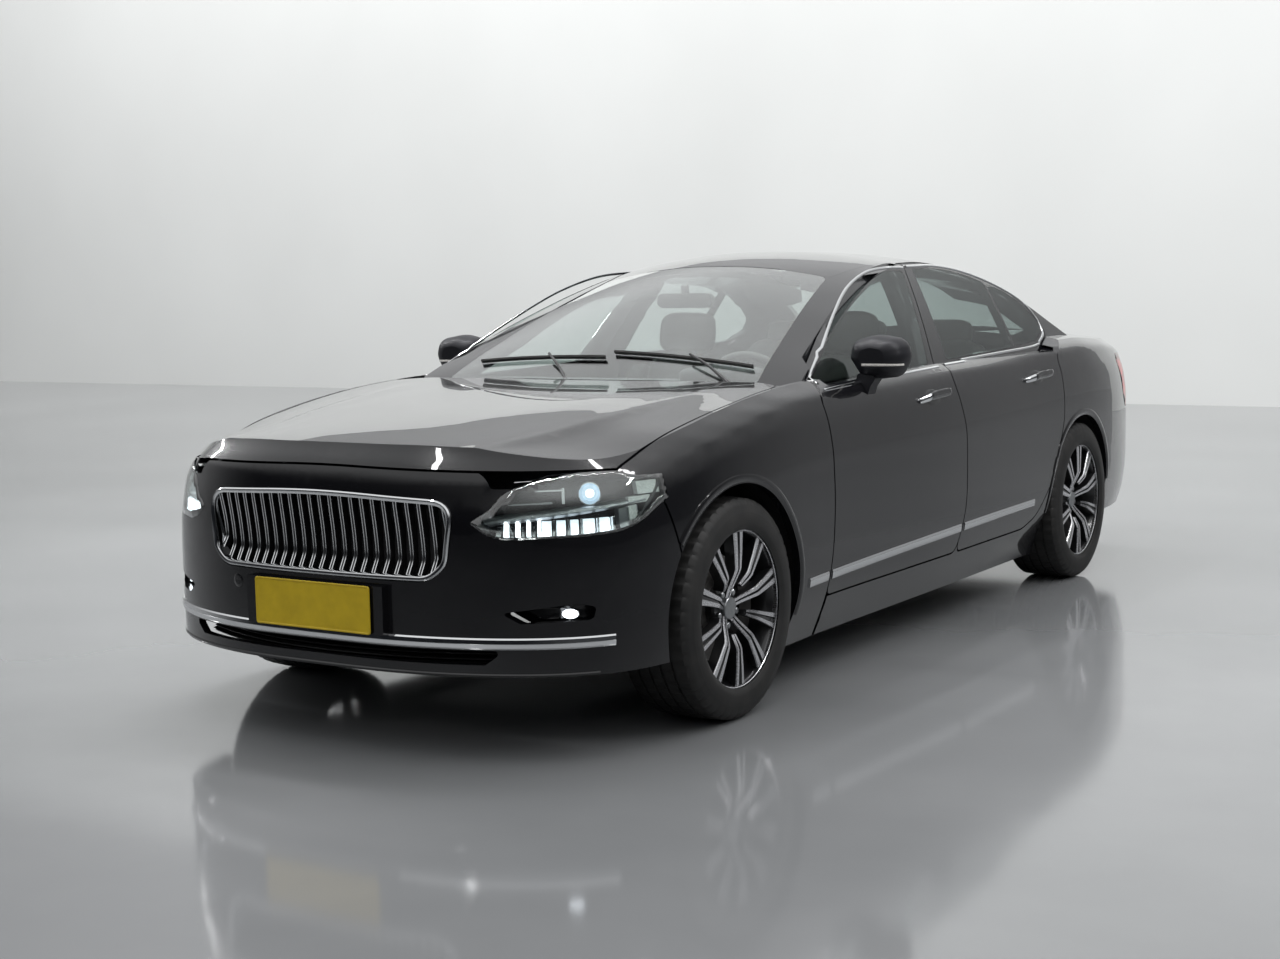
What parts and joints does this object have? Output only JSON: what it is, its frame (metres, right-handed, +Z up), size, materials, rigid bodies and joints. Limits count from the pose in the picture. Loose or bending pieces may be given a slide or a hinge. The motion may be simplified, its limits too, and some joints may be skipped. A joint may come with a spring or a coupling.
{
  "type": "sedan car",
  "caption": "Long black sedan with opening doors, bonnet and boot lid, steered front wheels and free-turning wheels.",
  "frame": {"origin": "on the ground, in the middle of the car's length and width", "axes": "the front of the car points along -Y, its own left side is +X, and +Z is up"},
  "size_m": [2.0294, 5.112, 1.448],
  "materials": {
    "paint": "gloss clear coat",
    "glass": "clear",
    "lamp_clear": "clear",
    "lamp_red": "clear",
    "chrome": "polished",
    "trim_black": "fine grain",
    "interior": "soft grain",
    "leather": "satin",
    "steel": "satin",
    "engine": "rough",
    "alloy": "machined",
    "tyre": "matte"
  },
  "bodies": {
    "body": {"floor_pan": "steel", "body_side_left": "paint", "body_side_right": "paint", "roof_panel": "paint", "windscreen": "glass", "rear_window": "glass", "cowl_panel": "trim_black", "tail_panel": "paint", "parcel_shelf": "paint", "fender_left": "paint", "fender_right": "paint", "front_bumper": "paint", "rear_bumper": "paint", "grille": "chrome", "headlamps": "lamp_clear", "tail_lamps": "lamp_red", "dashboard": "interior", "centre_console": "interior", "front_seats": "leather", "rear_seat": "leather", "steering_wheel": "leather", "inner_mirror": "interior", "engine_block": "engine", "front_axle": "steel", "rear_axle": "steel", "exhaust": "steel", "wheel_liners": "trim_black"},
    "bonnet": {"bonnet": "paint"},
    "boot_lid": {"boot_lid": "paint"},
    "door_front_left": {"door_front_left": "paint", "door_glass_front_left": "glass", "mirror_left": "paint"},
    "door_rear_left": {"door_rear_left": "paint", "door_glass_rear_left": "glass"},
    "door_front_right": {"door_front_right": "paint", "door_glass_front_right": "glass", "mirror_right": "paint"},
    "door_rear_right": {"door_rear_right": "paint", "door_glass_rear_right": "glass"},
    "knuckle_left": {"knuckle_left": "steel"},
    "knuckle_right": {"knuckle_right": "steel"},
    "wheel_front_left": {"rim_front_left": "alloy", "tyre_front_left": "tyre"},
    "wheel_front_right": {"rim_front_right": "alloy", "tyre_front_right": "tyre"},
    "wheel_rear_left": {"rim_rear_left": "alloy", "tyre_rear_left": "tyre"},
    "wheel_rear_right": {"rim_rear_right": "alloy", "tyre_rear_right": "tyre"}
  },
  "joints": [
    {"name": "bonnet_hinge", "type": "hinge", "parent": "body", "child": "bonnet", "pos_m": [0, -1.108, 0.955], "axis": [-1, 0, 0], "range_deg": [0, 50]},
    {"name": "boot_hinge", "type": "hinge", "parent": "body", "child": "boot_lid", "pos_m": [0, 1.8115, 1.094], "axis": [1, 0, 0], "range_deg": [0, 75]},
    {"name": "door_front_left_hinge", "type": "hinge", "parent": "body", "child": "door_front_left", "pos_m": [0.918, -0.985, 0.6], "axis": [0, 0, -1], "range_deg": [0, 65]},
    {"name": "door_rear_left_hinge", "type": "hinge", "parent": "body", "child": "door_rear_left", "pos_m": [0.918, 0.13, 0.6], "axis": [0, 0, -1], "range_deg": [0, 70]},
    {"name": "door_front_right_hinge", "type": "hinge", "parent": "body", "child": "door_front_right", "pos_m": [-0.918, -0.985, 0.6], "axis": [0, 0, 1], "range_deg": [0, 65]},
    {"name": "door_rear_right_hinge", "type": "hinge", "parent": "body", "child": "door_rear_right", "pos_m": [-0.918, 0.13, 0.6], "axis": [0, 0, 1], "range_deg": [0, 70]},
    {"name": "steer_left", "type": "hinge", "parent": "body", "child": "knuckle_left", "pos_m": [0.738, -1.667, 0.3435], "axis": [0, 0, 1], "range_deg": [-35, 35]},
    {"name": "steer_right", "type": "hinge", "parent": "body", "child": "knuckle_right", "pos_m": [-0.738, -1.667, 0.3435], "axis": [0, 0, 1], "range_deg": [-35, 35]},
    {"name": "wheel_front_left_spin", "type": "hinge", "parent": "knuckle_left", "child": "wheel_front_left", "pos_m": [0.806, -1.667, 0.3435], "axis": [1, 0, 0], "continuous": true},
    {"name": "wheel_front_right_spin", "type": "hinge", "parent": "knuckle_right", "child": "wheel_front_right", "pos_m": [-0.806, -1.667, 0.3435], "axis": [1, 0, 0], "continuous": true},
    {"name": "wheel_rear_left_spin", "type": "hinge", "parent": "body", "child": "wheel_rear_left", "pos_m": [0.806, 1.394, 0.3435], "axis": [1, 0, 0], "continuous": true},
    {"name": "wheel_rear_right_spin", "type": "hinge", "parent": "body", "child": "wheel_rear_right", "pos_m": [-0.806, 1.394, 0.3435], "axis": [1, 0, 0], "continuous": true}
  ],
  "couplings": [
    {"joint": "steer_right", "follows": "steer_left", "ratio": 1}
  ]
}
